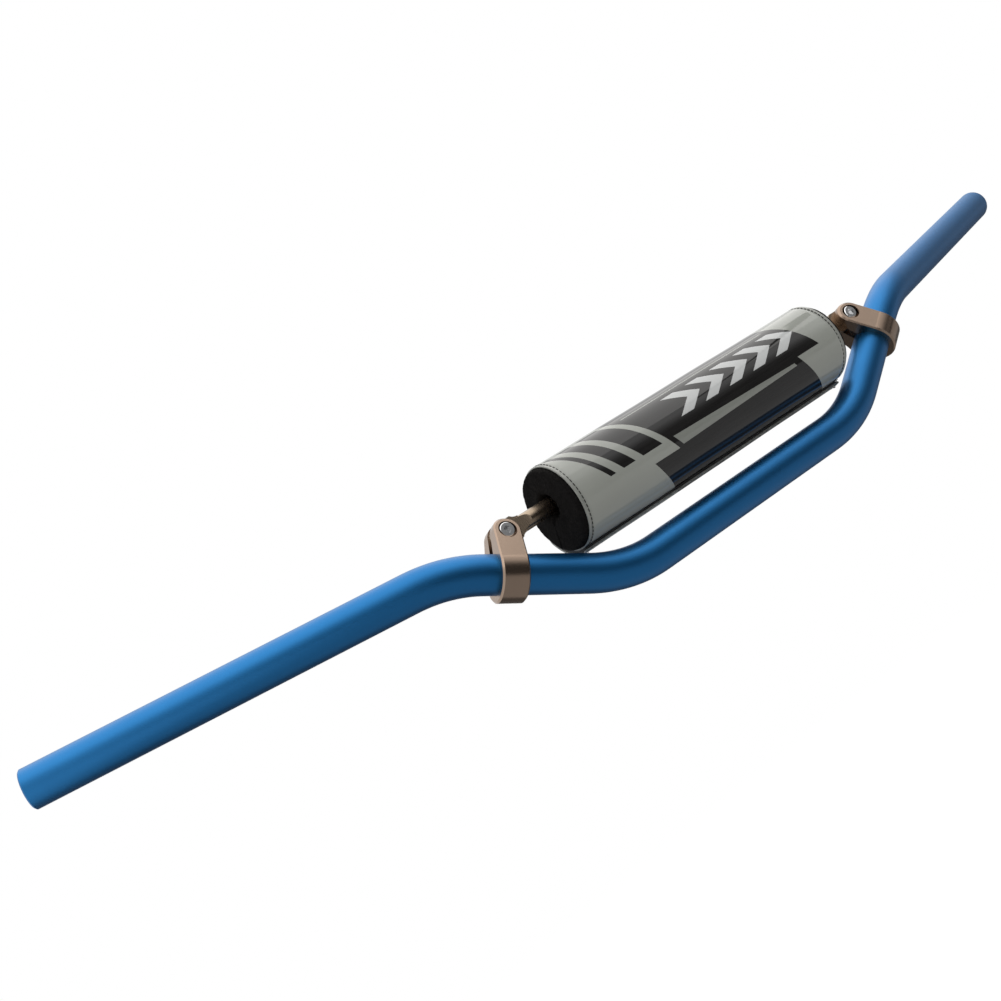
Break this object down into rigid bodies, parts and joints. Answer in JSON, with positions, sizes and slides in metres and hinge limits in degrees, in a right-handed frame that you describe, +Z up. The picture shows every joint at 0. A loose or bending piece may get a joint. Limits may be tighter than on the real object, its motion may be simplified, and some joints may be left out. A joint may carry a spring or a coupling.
{
  "type": "motocross handlebar",
  "caption": "Bent aluminium motocross handlebar with a clamped crossbar, socket screws and a wrapped foam pad.",
  "frame": {"origin": "on the axis of the bar, halfway along the straight that the top clamps hold", "axes": "+X across the bars along the clamped straight, +Y forward (the screw heads face it), +Z up; the ends sweep back towards -Y"},
  "size_m": [0.8194, 0.1134, 0.1112],
  "materials": {
    "bar_anodised": "satin blue anodised",
    "crossbar_anodised": "satin bronze anodised",
    "clamp_anodised": "satin bronze anodised",
    "screw_steel": "bright plated",
    "pad_foam": "rough cut foam",
    "pad_cover": "glossy clear laminate over print",
    "loop_tape": "brushed loops",
    "hook_tape": "moulded hooks"
  },
  "bodies": {
    "root": {"main_bar": "bar_anodised", "crossbar": "crossbar_anodised", "left_crossbar_clamp": "clamp_anodised", "right_crossbar_clamp": "clamp_anodised", "left_clamp_screw": "screw_steel", "right_clamp_screw": "screw_steel", "pad_foam": "pad_foam", "pad_cover": "pad_cover", "loop_strip": "loop_tape", "hook_strip": "hook_tape"}
  },
  "joints": []
}
